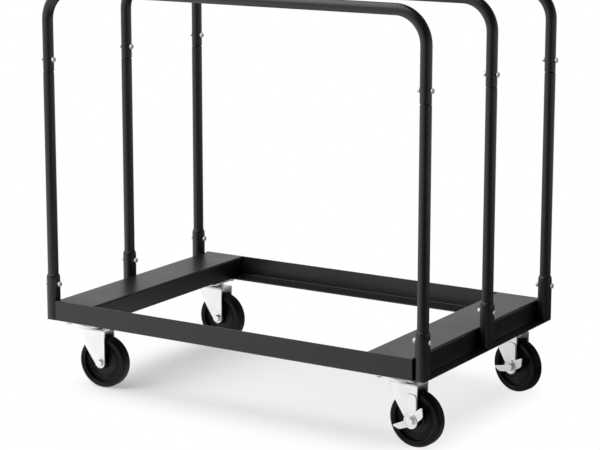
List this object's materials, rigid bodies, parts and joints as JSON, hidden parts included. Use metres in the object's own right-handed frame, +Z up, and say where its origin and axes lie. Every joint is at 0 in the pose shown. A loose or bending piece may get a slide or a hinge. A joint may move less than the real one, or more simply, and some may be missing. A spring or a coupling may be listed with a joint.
{
  "type": "sheet goods cart",
  "caption": "low steel platform cart on swivel casters with removable tubular hoops that hold sheet goods upright",
  "frame": {"origin": "on the floor under the middle of the base frame, between the four wheels", "axes": "+X along the rails toward the braked casters, +Y from the front rail to the rear rail, +Z up"},
  "size_m": [1.079, 0.658, 0.9952],
  "materials": {
    "powder_coat": "satin black powder coat",
    "zinc": "bright zinc plate",
    "tyre": "satin black rubber",
    "wheel_plastic": "moulded black plastic"
  },
  "bodies": {
    "frame": {"front_rail": "powder_coat", "rear_rail": "powder_coat", "left_deck": "powder_coat", "right_deck": "powder_coat", "front_hoop": "powder_coat", "front_left_socket": "powder_coat", "front_left_leg": "powder_coat", "front_left_socket_bolt": "zinc", "front_left_hoop_bolt": "zinc", "front_right_socket": "powder_coat", "front_right_leg": "powder_coat", "front_right_socket_bolt": "zinc", "front_right_hoop_bolt": "zinc", "middle_hoop": "powder_coat", "middle_left_socket": "powder_coat", "middle_left_leg": "powder_coat", "middle_left_socket_bolt": "zinc", "middle_left_hoop_bolt": "zinc", "middle_right_socket": "powder_coat", "middle_right_leg": "powder_coat", "middle_right_socket_bolt": "zinc", "middle_right_hoop_bolt": "zinc", "rear_hoop": "powder_coat", "rear_left_socket": "powder_coat", "rear_left_leg": "powder_coat", "rear_left_socket_bolt": "zinc", "rear_left_hoop_bolt": "zinc", "rear_right_socket": "powder_coat", "rear_right_leg": "powder_coat", "rear_right_socket_bolt": "zinc", "rear_right_hoop_bolt": "zinc", "front_left_caster_pad": "powder_coat", "front_left_caster_plate": "zinc", "front_right_caster_pad": "powder_coat", "front_right_caster_plate": "zinc", "rear_left_caster_pad": "powder_coat", "rear_left_caster_plate": "zinc", "rear_right_caster_pad": "powder_coat", "rear_right_caster_plate": "zinc"},
    "front_left_caster": {"front_left_fork": "zinc", "front_left_axle": "zinc"},
    "front_left_wheel": {"front_left_tyre": "tyre", "front_left_wheel_core": "wheel_plastic"},
    "rear_left_caster": {"rear_left_fork": "zinc", "rear_left_axle": "zinc"},
    "rear_left_wheel": {"rear_left_tyre": "tyre", "rear_left_wheel_core": "wheel_plastic"},
    "front_right_caster": {"front_right_fork": "zinc", "front_right_axle": "zinc", "front_right_brake_leaf": "zinc"},
    "front_right_wheel": {"front_right_tyre": "tyre", "front_right_wheel_core": "wheel_plastic"},
    "front_right_lever": {"front_right_brake_lever": "zinc"},
    "rear_right_caster": {"rear_right_fork": "zinc", "rear_right_axle": "zinc", "rear_right_brake_leaf": "zinc"},
    "rear_right_wheel": {"rear_right_tyre": "tyre", "rear_right_wheel_core": "wheel_plastic"},
    "rear_right_lever": {"rear_right_brake_lever": "zinc"}
  },
  "joints": [
    {"name": "front_left_swivel", "type": "hinge", "parent": "frame", "child": "front_left_caster", "pos_m": [-0.439, -0.261, 0.16869], "axis": [0, 0, 1], "continuous": true},
    {"name": "front_left_roll", "type": "hinge", "parent": "front_left_caster", "child": "front_left_wheel", "pos_m": [-0.40111, -0.25809, 0.06519], "axis": [-0.0767, 0.9971, 0], "continuous": true},
    {"name": "rear_left_swivel", "type": "hinge", "parent": "frame", "child": "rear_left_caster", "pos_m": [-0.439, 0.261, 0.16869], "axis": [0, 0, 1], "continuous": true},
    {"name": "rear_left_roll", "type": "hinge", "parent": "rear_left_caster", "child": "rear_left_wheel", "pos_m": [-0.40104, 0.25928, 0.06519], "axis": [0.0454, 0.999, 0], "continuous": true},
    {"name": "front_right_swivel", "type": "hinge", "parent": "frame", "child": "front_right_caster", "pos_m": [0.439, -0.261, 0.16869], "axis": [0, 0, 1], "continuous": true},
    {"name": "front_right_roll", "type": "hinge", "parent": "front_right_caster", "child": "front_right_wheel", "pos_m": [0.47695, -0.26292, 0.06519], "axis": [0.0506, 0.9987, 0], "continuous": true},
    {"name": "front_right_brake", "type": "hinge", "parent": "front_right_caster", "child": "front_right_lever", "pos_m": [0.47695, -0.26292, 0.06519], "axis": [0.0506, 0.9987, 0], "range_deg": [0, 30]},
    {"name": "rear_right_swivel", "type": "hinge", "parent": "frame", "child": "rear_right_caster", "pos_m": [0.439, 0.261, 0.16869], "axis": [0, 0, 1], "continuous": true},
    {"name": "rear_right_roll", "type": "hinge", "parent": "rear_right_caster", "child": "rear_right_wheel", "pos_m": [0.47595, 0.25213, 0.06519], "axis": [0.2334, 0.9724, 0], "continuous": true},
    {"name": "rear_right_brake", "type": "hinge", "parent": "rear_right_caster", "child": "rear_right_lever", "pos_m": [0.47595, 0.25213, 0.06519], "axis": [0.2334, 0.9724, 0], "range_deg": [-12, 18]}
  ]
}
